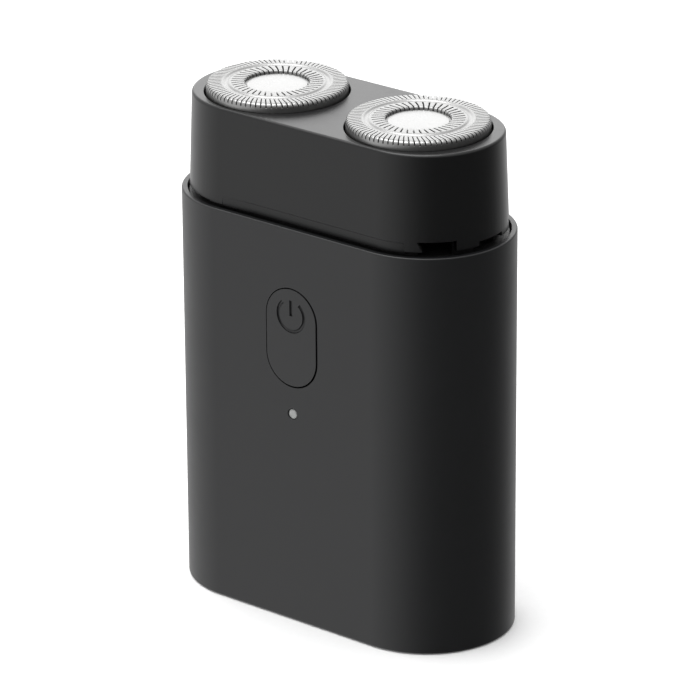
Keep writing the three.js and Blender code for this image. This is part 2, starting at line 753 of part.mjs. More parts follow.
for (const [word, side] of [
  ["left", -1],
  ["right", 1],
]) {
  const shavingHead = new THREE.Group();
  shavingHead.position.x = side * spindleOffset;
  shavingHead.add(
    piece(`guard_${word}`, guard(), guardSteel),
    piece(`guard_cap_${word}`, guardCap(), mirrorSteel),
    piece(`cutter_${word}`, cutterBlades(), bladeSteel),
    piece(`cutter_hub_${word}`, cutterHub(), gearWhite),
    piece(`spindle_${word}`, spindle(), gearWhite),
    piece(`spindle_seal_${word}`, spindleSeal(), sealBlack),
    piece(`spindle_spring_${word}`, spindleSpring(), plainSteel),
    piece(`gear_pin_${word}`, gearPin(), plainSteel),
    placed(piece(`drive_gear_${word}`, driveGear(), gearWhite), 0, 0, 0, 0, side < 0 ? Math.PI : 0),
  );
  shaver.add(
    shavingHead,
    piece(`battery_tab_${word}`, batteryTab(side), nickelStrip),
    piece(`motor_lead_${word}`, motorLead(side), side < 0 ? leadRed : leadBlack),
    placed(piece(`motor_magnet_${word}`, fieldMagnet(), ferriteGrey), 0, 0, 0, 0, side < 0 ? Math.PI : 0),
    placed(piece(`cover_screw_${word}`, coverScrew(), plainSteel), side * coverScrewX, 0, 0.15),
    placed(piece(`motor_screw_${word}`, motorScrew(), plainSteel), side * motorScrewX, 0, gearFloorZ + 0.8, Math.PI),
    placed(
      piece(`board_screw_${word}`, boardScrew(), plainSteel),
      side * boardScrewX,
      boardFrontY - 0.75,
      28.8,
      -Math.PI / 2,
    ),
  );
}

for (const [word, side] of [
  ["front", -1],
  ["rear", 1],
]) {
  shaver.add(
    placed(piece(`gearbox_screw_${word}`, gearboxScrew(), plainSteel), 0, side * gearboxScrewY, plateZ - 1.15),
    placed(piece(`body_magnet_${word}`, discMagnet(deckTop + 0.35), magnetNickel), 0, side * magnetY, 0),
    placed(piece(`head_magnet_${word}`, discMagnet(69.35), magnetNickel), 0, side * magnetY, 0),
  );
}

export default shaver;
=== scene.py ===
# The finished look of a pocket-size rotary shaver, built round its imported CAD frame.
# Shapes are written in millimetres and turned into metres by MM as their mesh is made.
# X runs along the width, -Y is the front face with the power button, +Z is up.

import math

import bmesh
import bpy
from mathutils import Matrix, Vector


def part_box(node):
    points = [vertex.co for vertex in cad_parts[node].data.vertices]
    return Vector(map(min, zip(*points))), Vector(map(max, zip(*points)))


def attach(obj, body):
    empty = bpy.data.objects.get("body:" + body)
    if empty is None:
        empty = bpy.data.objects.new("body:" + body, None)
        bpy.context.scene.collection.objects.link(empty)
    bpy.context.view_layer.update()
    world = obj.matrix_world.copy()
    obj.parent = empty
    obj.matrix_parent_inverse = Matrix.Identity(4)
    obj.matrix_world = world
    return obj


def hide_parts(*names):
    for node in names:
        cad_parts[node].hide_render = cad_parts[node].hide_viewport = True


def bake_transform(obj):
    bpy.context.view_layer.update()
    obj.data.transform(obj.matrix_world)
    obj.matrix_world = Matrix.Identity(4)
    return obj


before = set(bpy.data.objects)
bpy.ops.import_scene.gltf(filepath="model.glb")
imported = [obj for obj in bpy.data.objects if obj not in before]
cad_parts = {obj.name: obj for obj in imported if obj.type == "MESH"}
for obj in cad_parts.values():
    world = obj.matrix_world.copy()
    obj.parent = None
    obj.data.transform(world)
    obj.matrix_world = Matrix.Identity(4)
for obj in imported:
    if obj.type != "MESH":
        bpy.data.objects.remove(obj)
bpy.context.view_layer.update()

MM = 0.001

# ---- sizes taken from the frame


def box_mm(node):
    low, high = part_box(node)
    return low / MM, high / MM


shell_high = box_mm("body_shell")[1]
head_low, head_high = box_mm("head_cap")
button_low, button_high = box_mm("power_button")
lens_low, lens_high = box_mm("light_guide")
cap_low, cap_high = box_mm("guard_cap_right")

BODY_HALF = shell_high.y  # half of the body's depth, which is also the radius of its round ends
END = shell_high.x - BODY_HALF  # centre of each round end
BODY_TOP = shell_high.z
HEAD_HALF = BODY_HALF - 1.3  # the head stands in from the case
HEAD_TOP = head_high.z
HEAD_BOTTOM = head_low.z
HEAD_DRAFT = 0.6  # how far the head narrows on each side, from its foot to its top
GUARD_TOP = box_mm("guard_right")[1].z
GUARD_RADIUS = 11.3
SPINDLE_X = (cap_low.x + cap_high.x) / 2
BUTTON_Z = (button_low.z + button_high.z) / 2
BUTTON_SPAN = button_high.z - button_low.z - (button_high.x - button_low.x)  # between its round ends
LED_Z = (lens_low.z + lens_high.z) / 2

SHELL_WALL = 1.7
RIM_WALL = 0.95
CAVITY_HALF = BODY_HALF - SHELL_WALL
RIM_HALF = BODY_HALF - RIM_WALL
LEDGE_Z = 65.3  # where the deck rests inside the case
HEAD_CAVITY_HALF = HEAD_HALF - 1.25
HEAD_PLATE_Z = HEAD_TOP - 1.6
FRONT = -BODY_HALF
SIDES = (("left", -1), ("right", 1))
ENDS = (("front", -1), ("rear", 1))

# ---- outlines
# Each outline turns an (offset, level) into a ring of points.


def arc_points(x, y, radius, start, end, steps):
    """Points of an arc in degrees, both ends included."""
    angles = [math.radians(start + (end - start) * i / steps) for i in range(steps + 1)]
    return [(x + radius * math.cos(a), y + radius * math.sin(a)) for a in angles]


def stadium(half, z, steps=56):
    ring = arc_points(END, 0, half, -90, 90, steps) + arc_points(-END, 0, half, 90, 270, steps)
    return [(x, y, z) for x, y in ring]


def circle_at(x=0, y=0, steps=64, turn=0):
    def ring(radius, z):
        angles = [2 * math.pi * i / steps + turn for i in range(steps)]
        return [(x + radius * math.cos(a), y + radius * math.sin(a), z) for a in angles]

    return ring


def circle_facing_front(x, z, steps=48):
    def ring(radius, y):
        angles = [2 * math.pi * i / steps for i in range(steps)]
        return [(x + radius * math.cos(a), y, z + radius * math.sin(a)) for a in angles]

    return ring


def pill_facing_front(length, z, x=0, steps=28):
    """An upright pill. length is the distance between the centres of its round ends."""

    def ring(half, y):
        outline = arc_points(x, z + length / 2, half, 0, 180, steps)
        outline += arc_points(x, z - length / 2, half, 180, 360, steps)
        return [(across, y, height) for across, height in outline]

    return ring


def slot_lying(half_length, x, y, steps=16):
    """A long round-ended slot in plan. half_length runs from its middle to the centre of a round end."""

    def ring(half, z):
        outline = arc_points(x + half_length, y, half, -90, 90, steps)
        outline += arc_points(x - half_length, y, half, 90, 270, steps)
        return [(px, py, z) for px, py in outline]

    return ring


def rounded_block(half_x, half_y, corner, x=0, y=0, steps=4):
    """A rectangle in plan with round corners. The offset grows it outwards."""

    def ring(grow, z):
        points = []
        for turn, sx, sy in ((0, 1, 1), (90, -1, 1), (180, -1, -1), (270, 1, -1)):
            cx = x + sx * (half_x - corner)
            cy = y + sy * (half_y - corner)
            points += arc_points(cx, cy, corner + grow, turn, turn + 90, steps)
        return [(px, py, z) for px, py in points]

    return ring


# ---- profiles and meshes


def rounded(corners, loop=False, steps=4):
    """Corners are (offset, level) or (offset, level, radius). A radius turns its corner into an arc.
    A looped profile closes on itself, and an open one keeps its two end points."""
    points = []
    last = len(corners) - 1
    for i, corner in enumerate(corners):
        here = Vector(corner[:2])
        radius = corner[2] if len(corner) > 2 else 0
        if radius == 0 or (not loop and i in (0, last)):
            points.append(tuple(here))
            continue
        before = Vector(corners[i - 1][:2]) - here
        after = Vector(corners[(i + 1) % len(corners)][:2]) - here
        half = before.angle(after) / 2
        reach = min(radius / math.tan(half), 0.48 * before.length, 0.48 * after.length)
        radius = reach * math.tan(half)
        centre = here + (before.normalized() + after.normalized()).normalized() * (radius / math.sin(half))
        start = here + before.normalized() * reach - centre
        end = here + after.normalized() * reach - centre
        first = math.atan2(start.y, start.x)
        sweep = (math.atan2(end.y, end.x) - first + math.pi) % (2 * math.pi) - math.pi
        for k in range(steps + 1):
            angle = first + sweep * k / steps
            points.append((centre.x + radius * math.cos(angle), centre.y + radius * math.sin(angle)))
    return points


def add_rings(bm, rings, loop=False, capped=True):
    """Skins a list of rings. An open skin is closed with a face at each end, unless capped is False."""
    rows = [[bm.verts.new(Vector(point) * MM) for point in ring] for ring in rings]
    pairs = list(zip(rows, rows[1:]))
    if loop:
        pairs.append((rows[-1], rows[0]))
    for low, high in pairs:
        for i in range(len(low)):
            j = (i + 1) % len(low)
            bm.faces.new((low[i], low[j], high[j], high[i]))
    if capped and not loop:
        bm.faces.new(rows[0][::-1])
        bm.faces.new(rows[-1])


def object_from(bm, name):
    bmesh.ops.remove_doubles(bm, verts=bm.verts, dist=1e-7)
    bmesh.ops.recalc_face_normals(bm, faces=bm.faces)
    mesh = bpy.data.meshes.new(name)
    bm.to_mesh(mesh)
    bm.free()
    made = bpy.data.objects.new(name, mesh)
    bpy.context.scene.collection.objects.link(made)
    return made


def loft(name, outline, profile, loop=False):
    """A closed body whose outline follows a profile of (offset, level)."""
    bm = bmesh.new()
    add_rings(bm, [outline(offset, level) for offset, level in profile], loop)
    return object_from(bm, name)


def prism(name, outline, z0, z1):
    """An upright prism on a plan outline."""
    bm = bmesh.new()
    add_rings(bm, [[(x, y, z) for x, y in outline] for z in (z0, z1)])
    return object_from(bm, name)


def make_plain(piece):
    """Turns a piece and its modifiers into one plain mesh."""
    graph = bpy.context.evaluated_depsgraph_get()
    mesh = bpy.data.meshes.new_from_object(
        piece.evaluated_get(graph), preserve_all_data_layers=True, depsgraph=graph
    )
    piece.modifiers.clear()
    piece.data = mesh
    return piece


def combine(piece, tools, operation):
    """Cuts or joins one tool at a time, and welds the tiny slivers that each step leaves."""
    for tool in tools:
        step = piece.modifiers.new(operation.lower(), "BOOLEAN")
        step.operation = operation
        step.solver = "EXACT"
        step.object = tool
        make_plain(piece)
        bpy.data.objects.remove(tool)
        bm = bmesh.new()
        bm.from_mesh(piece.data)
        bmesh.ops.remove_doubles(bm, verts=bm.verts, dist=5e-7)
        bmesh.ops.dissolve_degenerate(bm, edges=bm.edges, dist=5e-7)
        bm.to_mesh(piece.data)
        bm.free()
    return piece


def cut_from(piece, *tools):
    return combine(piece, tools, "DIFFERENCE")


def joined_to(piece, *tools):
    return combine(piece, tools, "UNION")


def finish_piece(piece, material, body, slot, *nodes, crease=34):
    """Smooth shading with clean flats, then the piece's finish, body and the CAD nodes it stands for."""
    piece.data.materials.clear()
    piece.data.materials.append(material)
    piece.data.shade_smooth()
    piece.data.set_sharp_from_angle(angle=math.radians(crease))
    normals = piece.modifiers.new("flat_faces_stay_flat", "WEIGHTED_NORMAL")
    normals.keep_sharp = True
    normals.weight = 60
    make_plain(piece)
    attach(piece, body)
    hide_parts(*nodes)
    return piece


# ---- node helpers


def add_node(tree, kind, values=None, **settings):
    """One node. values fills its inputs by name or number. An output socket is linked to its input."""
    node = tree.nodes.new(kind)
    for key, value in settings.items():
        setattr(node, key, value)
    for key, value in (values or {}).items():
        socket = node.inputs[key]
        if isinstance(value, bpy.types.NodeSocket):
            tree.links.new(value, socket)
        else:
            socket.default_value = value
    return node


def group_node(tree, group, values):
    return add_node(tree, "ShaderNodeGroup", values, node_tree=group)


def noise(tree, place, scale, detail, roughness=0.5):
    values = {"Vector": place, "Scale": scale, "Detail": detail, "Roughness": roughness}
    return add_node(tree, "ShaderNodeTexNoise", values).outputs["Fac"]


def calculate(tree, operation, *values):
    return add_node(tree, "ShaderNodeMath", dict(enumerate(values)), operation=operation).outputs[0]


def rescale(tree, value, low, high, to_low=0.0, to_high=1.0, interpolation="LINEAR"):
    values = {"Value": value, "From Min": low, "From Max": high, "To Min": to_low, "To Max": to_high}
    return add_node(tree, "ShaderNodeMapRange", values, interpolation_type=interpolation).outputs[0]


def new_group(name, kind, inputs, outputs):
    group = bpy.data.node_groups.new(name, kind)
    for label, socket_type, default in inputs:
        socket = group.interface.new_socket(name=label, in_out="INPUT", socket_type=socket_type)
        if default is not None:
            socket.default_value = default
    for label, socket_type in outputs:
        group.interface.new_socket(name=label, in_out="OUTPUT", socket_type=socket_type)
    return group, group.nodes.new("NodeGroupInput"), group.nodes.new("NodeGroupOutput")


FLOAT = "NodeSocketFloat"
VECTOR = "NodeSocketVector"
SURFACE_CHANGES = [("Height", FLOAT), ("Roughness", FLOAT), ("Shade", FLOAT)]


def uneven_gloss(group, given, first, second):
    """The given roughness, moved up and down by two noises that each average a half."""
    both = calculate(group, "ADD", first, second)
    centred = calculate(group, "SUBTRACT", both, 1.0)
    change = given.outputs["Gloss Change"]
    return calculate(group, "MULTIPLY_ADD", centred, change, given.outputs["Roughness"])


def put_out(group, made, **values):
    for label, socket in values.items():
        group.links.new(socket, made.inputs[label])
    return group


def build_moulded_grain():
    """Spark-eroded mould texture: fine pits, with a slow change of gloss over the part."""
    inputs = [
        ("Vector", VECTOR, None),
        ("Grain", FLOAT, 6500.0),
        ("Gloss Change", FLOAT, 0.05),
        ("Roughness", FLOAT, 0.4),
    ]
    group, given, made = new_group("moulded_grain", "ShaderNodeTree", inputs, SURFACE_CHANGES)
    place = given.outputs["Vector"]
    grain = given.outputs["Grain"]
    pits = noise(group, place, grain, 2.0, 0.6)
    cells = add_node(group, "ShaderNodeTexVoronoi", {"Vector": place, "Scale": grain}, feature="SMOOTH_F1")
    height = calculate(group, "ADD", pits, cells.outputs["Distance"])
    slow = noise(group, place, 90.0, 4.0, 0.55)
    handled = noise(group, place, 420.0, 3.0, 0.7)
    rough = uneven_gloss(group, given, slow, handled)
    shade = rescale(group, pits, 0.3, 0.7, 0.9, 1.1)
    return put_out(group, made, Height=height, Roughness=rough, Shade=shade)


def build_turned_marks():
    """Fine concentric lines about Z that turning and lapping leave, with stray specks."""
    inputs = [
        ("Vector", VECTOR, None),
        ("Lines", FLOAT, 9000.0),
        ("Gloss Change", FLOAT, 0.12),
        ("Roughness", FLOAT, 0.25),
    ]
    group, given, made = new_group("turned_marks", "ShaderNodeTree", inputs, SURFACE_CHANGES)
    place = given.outputs["Vector"]
    flat_place = add_node(group, "ShaderNodeVectorMath", {0: place, 1: (1.0, 1.0, 0.0)}, operation="MULTIPLY")
    radius = add_node(group, "ShaderNodeVectorMath", {0: flat_place.outputs[0]}, operation="LENGTH")
    lines = add_node(
        group,
        "ShaderNodeTexNoise",
        {"W": radius.outputs["Value"], "Scale": given.outputs["Lines"], "Detail": 2.0},
        noise_dimensions="1D",
    )
    height = lines.outputs["Fac"]
    specks = noise(group, place, 1100.0, 3.0)
    rough = uneven_gloss(group, given, height, specks)
    shade = rescale(group, specks, 0.3, 0.7, 0.94, 1.04)
    return put_out(group, made, Height=height, Roughness=rough, Shade=shade)


def build_settled_dust():
    """A thin veil of dust and lint on faces that look up, broken by noise. Gives a mask."""
    inputs = [("Vector", VECTOR, None), ("Amount", FLOAT, 0.3)]
    group, given, made = new_group("settled_dust", "ShaderNodeTree", inputs, [("Mask", FLOAT)])
    facing = add_node(group, "ShaderNodeNewGeometry")
    up = add_node(group, "ShaderNodeSeparateXYZ", {0: facing.outputs["Normal"]})
    level = rescale(group, up.outputs["Z"], 0.25, 1.0)
    specks = noise(group, given.outputs["Vector"], 2600.0, 3.0, 0.75)
    broken = rescale(group, specks, 0.52, 0.78)
    both = calculate(group, "MULTIPLY", level, broken)
    return put_out(group, made, Mask=calculate(group, "MULTIPLY", both, given.outputs["Amount"]))


moulded_grain = build_moulded_grain()
turned_marks = build_turned_marks()
settled_dust = build_settled_dust()


def shaded(tree, colour, shade):
    """The base colour, made a little lighter and darker by a 0.9 to 1.1 shade."""
    return add_node(tree, "ShaderNodeVectorMath", {0: colour, "Scale": shade}, operation="SCALE").outputs[0]


def start_material(name):
    material = bpy.data.materials.new(name)
    material.use_nodes = True
    tree = material.node_tree
    surface = tree.nodes["Principled BSDF"]
    place = add_node(tree, "ShaderNodeTexCoord")
    return material, tree, surface, place.outputs["Object"]


def add_bump(tree, surface, height, depth):
    bump = add_node(tree, "ShaderNodeBump", {"Height": height, "Distance": depth * MM, "Strength": 1.0})
    tree.links.new(bump.outputs["Normal"], surface.inputs["Normal"])


def moulded_plastic(
    name,
    colour,
    roughness,
    grain=6500.0,
    depth=0.004,
    dust=0.0,
    specular=0.5,
    see_through=0.0,
):
    """A moulded part: mould grain in its bump, uneven gloss, and dust where it lies open."""
    material, tree, surface, place = start_material(name)
    values = {"Vector": place, "Grain": grain, "Gloss Change": 0.06, "Roughness": roughness}
    texture = group_node(tree, moulded_grain, values)
    base = shaded(tree, colour, texture.outputs["Shade"])
    if dust:
        mask = group_node(tree, settled_dust, {"Vector": place, "Amount": dust})
        mixed = add_node(tree, "ShaderNodeMix", {"Factor": mask.outputs["Mask"]}, data_type="RGBA")
        tree.links.new(base, mixed.inputs[6])
        mixed.inputs[7].default_value = (0.35, 0.34, 0.32, 1.0)
        base = mixed.outputs[2]
    tree.links.new(base, surface.inputs["Base Color"])
    tree.links.new(texture.outputs["Roughness"], surface.inputs["Roughness"])
    surface.inputs["Specular IOR Level"].default_value = specular
    surface.inputs["Transmission Weight"].default_value = see_through
    add_bump(tree, surface, texture.outputs["Height"], depth)
    return material


def worked_metal(name, colour, roughness, lines=9000.0, depth=0.002, change=0.12, x=0.0):
    """Bare metal with turning lines about an upright axis at x."""
    material, tree, surface, place = start_material(name)
    centred = add_node(tree, "ShaderNodeMapping", {"Vector": place, "Location": (-x * MM, 0.0, 0.0)})
    values = {"Vector": centred.outputs[0], "Lines": lines, "Gloss Change": change, "Roughness": roughness}
    texture = group_node(tree, turned_marks, values)
    tree.links.new(shaded(tree, colour, texture.outputs["Shade"]), surface.inputs["Base Color"])
    tree.links.new(texture.outputs["Roughness"], surface.inputs["Roughness"])
    surface.inputs["Metallic"].default_value = 1.0
    add_bump(tree, surface, texture.outputs["Height"], depth)
    return material


shell_black = moulded_plastic("shell_black", (0.0045, 0.0048, 0.0056), 0.41, depth=0.0022, specular=0.52)
head_black = moulded_plastic(
    "head_black", (0.003, 0.0031, 0.0034), 0.3, depth=0.0018, dust=0.04, specular=0.43
)
button_black = moulded_plastic("button_black", (0.0055, 0.0058, 0.0066), 0.44, depth=0.0025, specular=0.54)
inner_black = moulded_plastic("inner_black", (0.005, 0.005, 0.0053), 0.48, depth=0.003, dust=0.06)
seal_rubber = moulded_plastic("seal_rubber", (0.01, 0.01, 0.01), 0.75, grain=4200.0, depth=0.004)
gear_plastic = moulded_plastic("gear_plastic", (0.68, 0.66, 0.6), 0.42, depth=0.002)
led_lens = moulded_plastic("led_lens", (0.37, 0.38, 0.37), 0.36, depth=0.001, see_through=0.25)
board_green = moulded_plastic("board_green", (0.01, 0.075, 0.035), 0.35, grain=2600.0, depth=0.003)
cell_wrap = moulded_plastic("cell_wrap", (0.02, 0.07, 0.16), 0.3, grain=1200.0, depth=0.003)
lead_red = moulded_plastic("lead_red", (0.3, 0.015, 0.01), 0.42)
lead_black = moulded_plastic("lead_black", (0.012, 0.012, 0.012), 0.42)
magnet_ferrite = moulded_plastic("magnet_ferrite", (0.045, 0.045, 0.048), 0.6, grain=5200.0, depth=0.006)
plain_steel = worked_metal("plain_steel", (0.52, 0.52, 0.53), 0.32)
motor_steel = worked_metal("motor_steel", (0.46, 0.46, 0.47), 0.38, lines=5200.0)
magnet_nickel = worked_metal("magnet_nickel", (0.42, 0.415, 0.4), 0.3)
nickel_strip = worked_metal("nickel_strip", (0.56, 0.54, 0.5), 0.34)
winding_copper = worked_metal("winding_copper", (0.62, 0.26, 0.1), 0.35, lines=2600.0, depth=0.03)

# ---- the body


def make_body_shell():
    profile = rounded(
        [
            (CAVITY_HALF + 0.4, 0, 0.12),
            (BODY_HALF, 0, 0.4),
            (BODY_HALF, BODY_TOP, 0.27),
            (RIM_HALF, BODY_TOP, 0.1),
            (RIM_HALF, LEDGE_Z),
            (CAVITY_HALF, LEDGE_Z),
            (CAVITY_HALF, 1.8),
            (CAVITY_HALF + 0.4, 1.8),
        ],
        loop=True,
    )
    shell = loft("body_shell_fine", stadium, profile, loop=True)
    pill = pill_facing_front(BUTTON_SPAN, BUTTON_Z)
    button_hole = loft("button_hole", pill, [(5.23, FRONT - 0.05), (5.2, FRONT + 0.02), (5.2, FRONT + 3)])
    round_hole = circle_facing_front(0, LED_Z)
    led_hole = loft("led_hole", round_hole, [(1.05, FRONT - 0.05), (0.92, FRONT + 0.08), (0.92, FRONT + 3)])
    cut_from(shell, button_hole, led_hole)
    return finish_piece(shell, shell_black, "case", "shell_black", "body_shell")


def groove(name, points, radius, sides=12):
    """A round-bottomed groove cutter along points that lie in a plane facing the front."""
    bm = bmesh.new()
    rings = []
    count = len(points)
    for i, (x, z) in enumerate(points):
        ahead = Vector(points[min(i + 1, count - 1)])
        behind = Vector(points[max(i - 1, 0)])
        along = (ahead - behind).normalized()
        across = Vector((along.y, -along.x))
        ring = []
        for k in range(sides):
            angle = 2 * math.pi * k / sides
            side = radius * math.cos(angle)
            ring.append((x + across.x * side, FRONT + 0.05 + radius * math.sin(angle), z + across.y * side))
        rings.append(ring)
    add_rings(bm, rings)
    return object_from(bm, name)


def make_power_button():
    left = -0.11  # the button rests a little to the left in its hole
    pill = pill_facing_front(BUTTON_SPAN, BUTTON_Z, left)
    profile = rounded(
        [(5.5, -11.95), (5.5, -12.4), (4.98, -12.4), (4.98, FRONT, 0.05), (3.2, FRONT)]
    )
    button = loft("power_button_fine", pill, profile)
    stem = loft("stem", circle_facing_front(0, BUTTON_Z), [(1.5, -12.2), (1.5, -11.35)])
    joined_to(button, stem)
    ring_z = BUTTON_Z + 3.75
    ring = arc_points(left, ring_z, 2.62, 128, 412, 40)
    bar = [(left, ring_z - 0.05 + 2.6 * i / 6) for i in range(7)]
    cut_from(button, groove("ring_groove", ring, 0.3), groove("bar_groove", bar, 0.3))
    return finish_piece(button, button_black, "button", "shell_black", "power_button")


def make_light_guide():
    lens = circle_facing_front(0, LED_Z)
    back = -10.7
    flange = -CAVITY_HALF + 0.05
    profile = rounded(
        [
            (0.3, back),
            (0.78, back, 0.05),
            (0.78, flange + 0.65),
            (1.4, flange + 0.65, 0.08),
            (1.4, flange, 0.08),
            (0.82, flange),
            (0.82, FRONT + 0.06, 0.22),
            (0.2, FRONT + 0.06),
        ],
    )
    return finish_piece(loft("light_guide_fine", lens, profile), led_lens, "case", "led_lens", "light_guide")


# ---- the base

COVER_SCREW_X = 23.9
PORT_Y = -7.1


def make_base_cover():
    edge = CAVITY_HALF + 0.25
    corners = [
        (edge, 0, 0.35),
        (edge, 1.7, 0.1),
        (11.5, 1.7),
        (11.5, 4.0, 0.25),
        (10.5, 4.0, 0.25),
        (10.5, 1.7),
    ]
    cover = loft("base_cover_fine", stadium, rounded(corners))
    port = slot_lying(2.85, 0, PORT_Y)
    port_hole = loft("port_hole", port, [(2.25, -0.1), (1.85, 0.35), (1.85, 5)])
    tools = [port_hole]
    for _, side in SIDES:
        x = side * COVER_SCREW_X
        bore = [(2.15, -0.1), (1.95, 0.15), (1.95, 0.95), (1.05, 0.95), (1.05, 5)]
        tools.append(loft("screw_bore", circle_at(x), bore))
    cut_from(cover, *tools)
    return finish_piece(cover, shell_black, "case", "shell_black", "base_cover")


def cross_recess(x, y, z, reach, half, depth):
    """Cutters for a cross recess that narrows with depth, opening downwards."""
    tools = []
    for half_x, half_y in ((reach, half), (half, reach)):
        ring = rounded_block(half_x, half_y, half * 0.6, x, y)
        tools.append(loft("recess", ring, [(0, z - 0.2), (0, z), (-half * 0.45, z + depth)]))
    return tools


def make_cover_screws():
    for word, side in SIDES:
        x = side * COVER_SCREW_X
        seat = 0.15
        corners = [
            (0.4, seat),
            (1.75, seat, 0.3),
            (1.75, seat + 0.75),
            (0.8, seat + 0.75, 0.05),
            (0.8, seat + 8.3, 0.2),
            (0.3, seat + 8.6),
        ]
        screw = loft("cover_screw_fine_" + word, circle_at(x, steps=40), rounded(corners))
        cut_from(screw, *cross_recess(x, 0, seat, 1.1, 0.24, 0.45))
        material = worked_metal(f"screw_steel_{word}", (0.42, 0.42, 0.43), 0.3, x=x)
        finish_piece(screw, material, "case", "plain_steel", "cover_screw_" + word)


def make_usb_port():
    port = slot_lying(2.85, 0, PORT_Y)
    mouth = 0.6
    top = 8.1
    corners = [(1.3, mouth, 0.1), (1.6, mouth, 0.1), (1.6, top, 0.3), (0.8, top)]
    shell = loft("usb_port_fine", port, rounded(corners))
    cut_from(shell, loft("port_bore", port, [(1.32, mouth - 0.5), (1.3, mouth + 0.2), (1.3, top - 0.8)]))
    finish_piece(shell, plain_steel, "case", "plain_steel", "usb_port")
    tongue = loft(
        "usb_tongue_fine",
        rounded_block(3.3, 0.35, 0.12, 0, PORT_Y),
        [(-0.08, mouth + 0.8), (0, mouth + 0.95), (0, top - 0.9)],
    )
    finish_piece(tongue, inner_black, "case", "inner_black", "usb_tongue")


# ---- the head


def end_cutter(side, low_edge, high_edge, start, end, inner=10.8):
    """Cuts the wall of a round end between two angles, from a radius of inner outwards.
    Each edge gives its height at an angle in degrees."""
    bm = bmesh.new()
    steps = max(2, round(abs(end - start) / 2))
    sections = []
    for i in range(steps + 1):
        angle = start + (end - start) * i / steps
        turn = math.radians(angle)
        section = []
        outer = inner + 3.6
        for radius, height in ((inner, low_edge), (outer, low_edge), (outer, high_edge), (inner, high_edge)):
            section.append((side * END + radius * math.cos(turn), radius * math.sin(turn), height(angle)))
        sections.append(section)
    add_rings(bm, sections)
    return object_from(bm, "end_cutter")


STEP_TOP = 68.95
DRAINS = ((-58.9, -30.8), (-12.8, 12.8), (30.8, 58.9))  # degrees about the right-hand end's centre


def flat(height):
    return lambda angle: height


def make_head_cap():
    profile = rounded(
        [
            (10, HEAD_BOTTOM),
            (HEAD_HALF, HEAD_BOTTOM, 0.16),
            (HEAD_HALF - HEAD_DRAFT, HEAD_TOP, 0.5),
            (9, HEAD_TOP),
        ],
        steps=6,
    )
    head = loft("head_cap_fine", stadium, profile)
    tools = [loft("cavity", stadium, [(HEAD_CAVITY_HALF, HEAD_BOTTOM - 1), (HEAD_CAVITY_HALF, HEAD_PLATE_Z)])]
    hole = GUARD_RADIUS + 0.3
    for _, side in SIDES:
        bore = [(hole, HEAD_PLATE_Z - 1), (hole, HEAD_TOP - 0.09), (hole + 0.12, HEAD_TOP + 0.03)]
        tools.append(loft("guard_hole", circle_at(side * SPINDLE_X, steps=128), bore))
    cut_from(head, *tools)
    root = HEAD_PLATE_Z + 0.4
    post = rounded([(1.4, 78.1, 0.1), (2.3, 78.1, 0.2), (2.3, root), (1.4, root)], loop=True)
    joined_to(head, loft("knob_post", circle_at(steps=40), post, loop=True))
    below = HEAD_BOTTOM - 1
    skirt_z = 67.7
    side_drain_top = 69.3
    end_drain_top = 68.45
    slant = 7.3  # degrees over which a side drain's left edge leans
    slit = 67.8  # degrees from the end to the slit beside each side drain
    slit_top = 69.05
    slit_inner = 12.55

    def slanted(angle):
        share = (slant + DRAINS[0][0] - angle) / slant
        return below + (side_drain_top - 0.02 - below) * min(1, max(0, share))

    front_drain = end_cutter(1, slanted, flat(side_drain_top), *DRAINS[0])
    rear_drain = end_cutter(1, lambda angle: slanted(-angle), flat(side_drain_top), *DRAINS[2])
    slits = []
    for turn in (-slit, slit):
        slits.append(end_cutter(1, flat(below), flat(slit_top), turn - 0.3, turn + 0.3, slit_inner))
    cut_from(
        head,
        end_cutter(-1, flat(below), flat(skirt_z), 98, 262),
        end_cutter(1, flat(below), flat(skirt_z), -slit, slit),
        end_cutter(1, flat(below), flat(end_drain_top), *DRAINS[1]),
        front_drain,
        rear_drain,
        *slits,
        *thumb_steps(),
    )
    return finish_piece(head, head_black, "head", "head_black", "head_cap")


def thumb_steps():
    """Skims the skin along the lower edge, front and back. The skin above keeps a small round edge."""
    left = -15.0
    fade = 6.0  # the step deepens over this length
    depth = 0.26
    round_edge = 0.17
    last_angle = 67.9
    stations = [(Vector((left + i * fade / 6, HEAD_HALF)), Vector((0, 1)), i / 6) for i in range(7)]
    for i in range(25):
        angle = math.radians(90 - (90 - last_angle) * i / 24)
        out = Vector((math.cos(angle), math.sin(angle)))
        stations.append((Vector((END, 0)) + out * HEAD_HALF, out, 1))
    lean = HEAD_DRAFT * (STEP_TOP - HEAD_BOTTOM) / (HEAD_TOP - HEAD_BOTTOM)
    tools = []
    for side in (-1, 1):
        bm = bmesh.new()
        rings = []
        for point, out, share in stations:
            edge = lean + round_edge * share
            floor = lean + depth * share
            section = [(floor, HEAD_BOTTOM - 1), (floor, STEP_TOP), (edge, STEP_TOP)]
            for angle in (67, 45, 23, 0):
                turn = math.radians(angle)
                inset = edge - round_edge * share * math.cos(turn)
                section.append((inset, STEP_TOP + round_edge * share * (1 - math.sin(turn))))
            section += [(-1, STEP_TOP + round_edge * share), (-1, HEAD_BOTTOM - 1)]
            ring = []
            for inset, z in section:
                place = point - out * inset
                ring.append((place.x, side * place.y, z))
            rings.append(ring)
        add_rings(bm, rings)
        tools.append(object_from(bm, "thumb_step"))
    return tools


# ---- the guards

GUARD_SECTORS = 42
CELLS = 10  # across each sector


